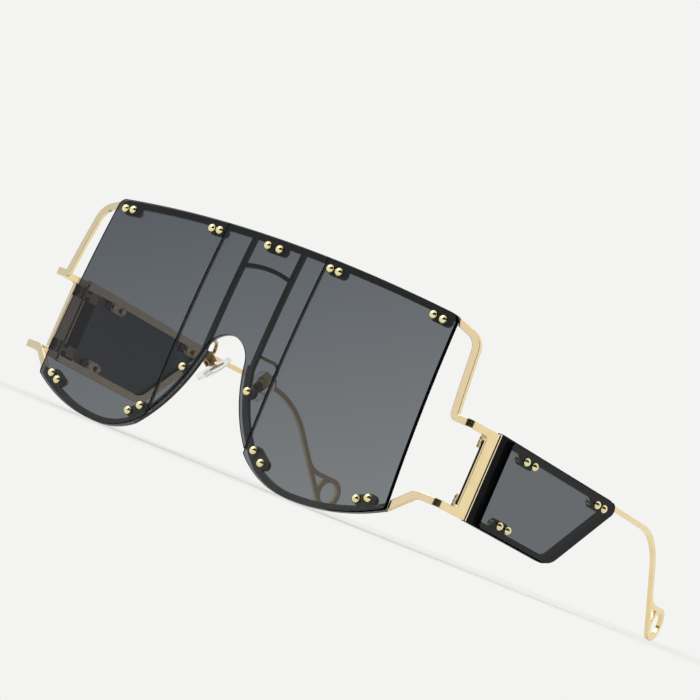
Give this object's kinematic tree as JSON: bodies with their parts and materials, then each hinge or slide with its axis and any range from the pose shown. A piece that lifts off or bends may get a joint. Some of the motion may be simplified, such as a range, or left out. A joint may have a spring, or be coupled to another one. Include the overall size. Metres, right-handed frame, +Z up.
{
  "type": "shield sunglasses",
  "caption": "Oversized wrap sunglasses with a panelled grey lens, black metal front, open gold end pieces, hinged side panels and ring-tipped temples",
  "frame": {"origin": "Middle of the width and of the depth, on the plane on which the bottom rims and the tip rings stand", "axes": "+X to the wearer's left, +Y from the lens back to the tips, +Z up"},
  "size_m": [0.1654, 0.1607, 0.0662],
  "materials": {
    "black_enamel": "gloss",
    "gold_metal": "polished",
    "grey_lens": "gloss",
    "clear_pad": "gloss"
  },
  "bodies": {
    "front": {"front_frame": "black_enamel", "end_piece_left": "gold_metal", "end_piece_right": "gold_metal", "lens_left": "grey_lens", "lens_center": "grey_lens", "lens_right": "grey_lens", "front_rivets": "gold_metal", "front_rivet_nuts": "gold_metal", "hinge_block_left": "gold_metal", "hinge_block_right": "gold_metal", "hinge_screws_left": "gold_metal", "hinge_screws_right": "gold_metal", "pad_arm_left": "gold_metal", "pad_arm_right": "gold_metal", "pad_screw_left": "gold_metal", "pad_screw_right": "gold_metal"},
    "temple_left": {"hinge_leaf_left": "gold_metal", "temple_frame_left": "black_enamel", "side_lens_left": "grey_lens", "side_rivets_left": "gold_metal", "side_rivet_nuts_left": "gold_metal", "temple_bar_left": "gold_metal"},
    "pad_left": {"pad_insert_left": "gold_metal", "nose_pad_left": "clear_pad"},
    "temple_right": {"hinge_leaf_right": "gold_metal", "temple_frame_right": "black_enamel", "side_lens_right": "grey_lens", "side_rivets_right": "gold_metal", "side_rivet_nuts_right": "gold_metal", "temple_bar_right": "gold_metal"},
    "pad_right": {"pad_insert_right": "gold_metal", "nose_pad_right": "clear_pad"}
  },
  "joints": [
    {"name": "temple_hinge_right", "type": "hinge", "parent": "front", "child": "temple_right", "pos_m": [0.0767, -0.05793, 0.02483], "axis": [0, 0.0515, 0.9987], "range_deg": [0, 88]},
    {"name": "temple_hinge_left", "type": "hinge", "parent": "front", "child": "temple_left", "pos_m": [-0.0767, -0.05793, 0.02483], "axis": [0, -0.0515, -0.9987], "range_deg": [0, 82]},
    {"name": "pad_rock_right", "type": "hinge", "parent": "front", "child": "pad_right", "pos_m": [0.01011, -0.07117, 0.02745], "axis": [-0.766, -0.4855, 0.4213], "range_deg": [-8, 8]},
    {"name": "pad_rock_left", "type": "hinge", "parent": "front", "child": "pad_left", "pos_m": [-0.01011, -0.07117, 0.02745], "axis": [0.766, -0.4855, 0.4213], "range_deg": [-8, 8]}
  ]
}
